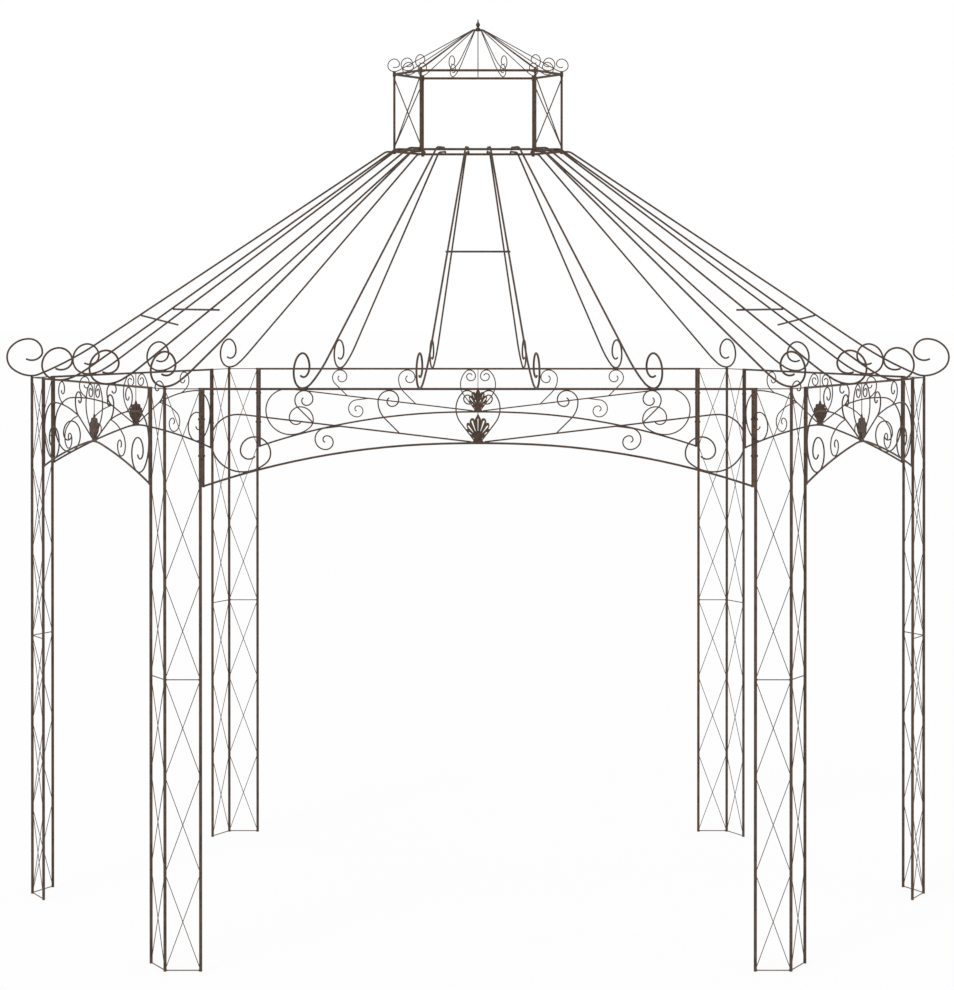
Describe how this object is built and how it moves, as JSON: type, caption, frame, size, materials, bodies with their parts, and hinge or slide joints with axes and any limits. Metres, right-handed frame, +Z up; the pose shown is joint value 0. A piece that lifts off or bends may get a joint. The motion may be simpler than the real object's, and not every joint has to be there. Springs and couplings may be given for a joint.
{
  "type": "garden gazebo frame",
  "caption": "Open six-sided garden gazebo frame of welded round bar, with lattice posts, scrollwork arches, scrolled roof ribs and a lantern on top.",
  "frame": {"origin": "on the ground under the middle of the plan", "axes": "+Z up, +X along the long front side, +Y from the front long side to the back long side"},
  "size_m": [4.03, 2.7146, 3.738],
  "materials": {
    "posts": "dark antique brown powder coat",
    "arches": "dark antique brown powder coat",
    "roof": "dark antique brown powder coat",
    "lantern": "dark antique brown powder coat"
  },
  "bodies": {
    "root": {"post_front_left": "posts", "post_front_right": "posts", "post_mid_right": "posts", "post_back_right": "posts", "post_back_left": "posts", "post_mid_left": "posts", "arch_front": "arches", "arch_front_right": "arches", "arch_back_right": "arches", "arch_back": "arches", "arch_back_left": "arches", "arch_front_left": "arches", "rib_corner_front_left": "roof", "rib_corner_front_right": "roof", "rib_corner_mid_right": "roof", "rib_corner_back_right": "roof", "rib_corner_back_left": "roof", "rib_corner_mid_left": "roof", "rib_front_1": "roof", "rib_front_2": "roof", "rib_front_3": "roof", "rib_front_4": "roof", "rib_front_right_1": "roof", "rib_front_right_2": "roof", "rib_back_right_1": "roof", "rib_back_right_2": "roof", "rib_back_1": "roof", "rib_back_2": "roof", "rib_back_3": "roof", "rib_back_4": "roof", "rib_back_left_1": "roof", "rib_back_left_2": "roof", "rib_front_left_1": "roof", "rib_front_left_2": "roof", "crossbar_front": "roof", "crossbar_front_right": "roof", "crossbar_back_right": "roof", "crossbar_back_left": "roof", "crossbar_front_left": "roof", "lantern_base_ring": "lantern", "lantern_side_left": "lantern", "lantern_side_right": "lantern", "lantern_eave_ring": "lantern", "lantern_roof": "lantern", "finial": "lantern"}
  },
  "joints": []
}
